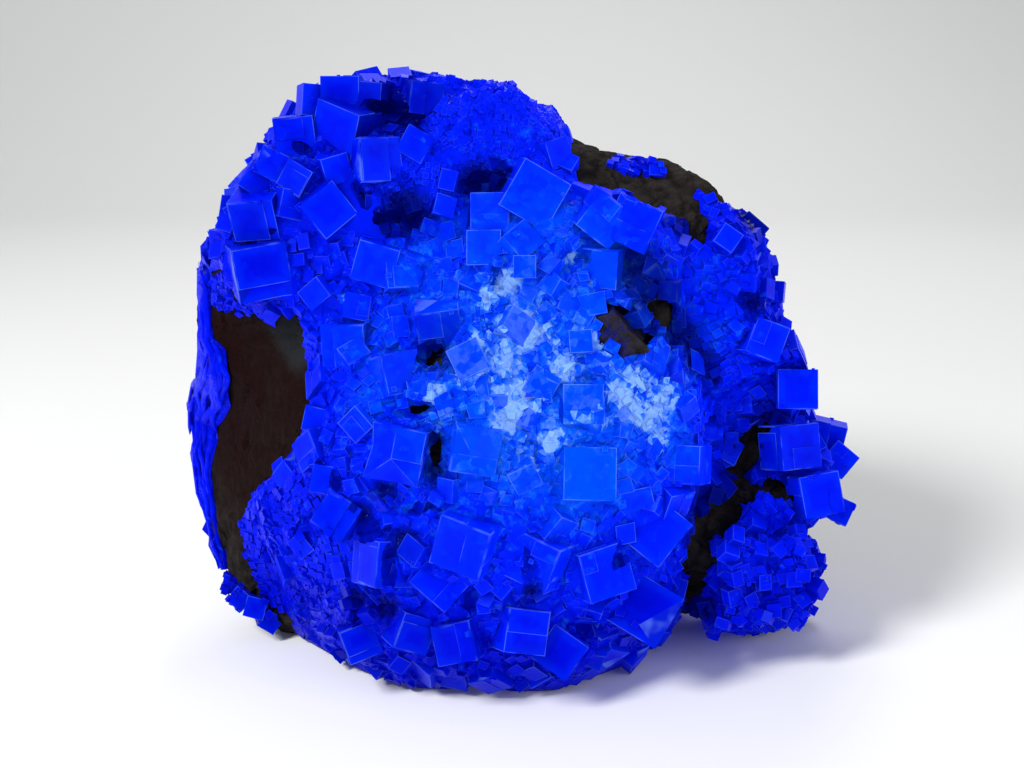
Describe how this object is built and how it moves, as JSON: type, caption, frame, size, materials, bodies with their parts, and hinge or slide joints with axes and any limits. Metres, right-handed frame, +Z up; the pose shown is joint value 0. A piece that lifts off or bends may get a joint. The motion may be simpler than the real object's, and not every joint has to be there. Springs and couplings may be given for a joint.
{
  "type": "cubic fluorite specimen",
  "caption": "Lump of dark host rock with a thick crust of intergrown blue cubic fluorite crystals over its front, resting on a flat underside.",
  "frame": {"origin": "centre of the overall box, on the ground plane that the specimen rests on", "axes": "+X along the width of the crystal-covered front, +Y from the front to the broken back, +Z up"},
  "size_m": [0.284, 0.1766, 0.2312],
  "materials": {
    "host_rock": "rough, dull, freshly broken",
    "fluorite": "glassy faces with a soft inner glow"
  },
  "bodies": {
    "root": {"host_rock": "host_rock", "front_crystals": "fluorite", "right_crystals": "fluorite", "knuckle_crystals": "fluorite", "foot_crystals": "fluorite", "top_patch_crystals": "fluorite", "low_patch_crystals": "fluorite"}
  },
  "joints": []
}
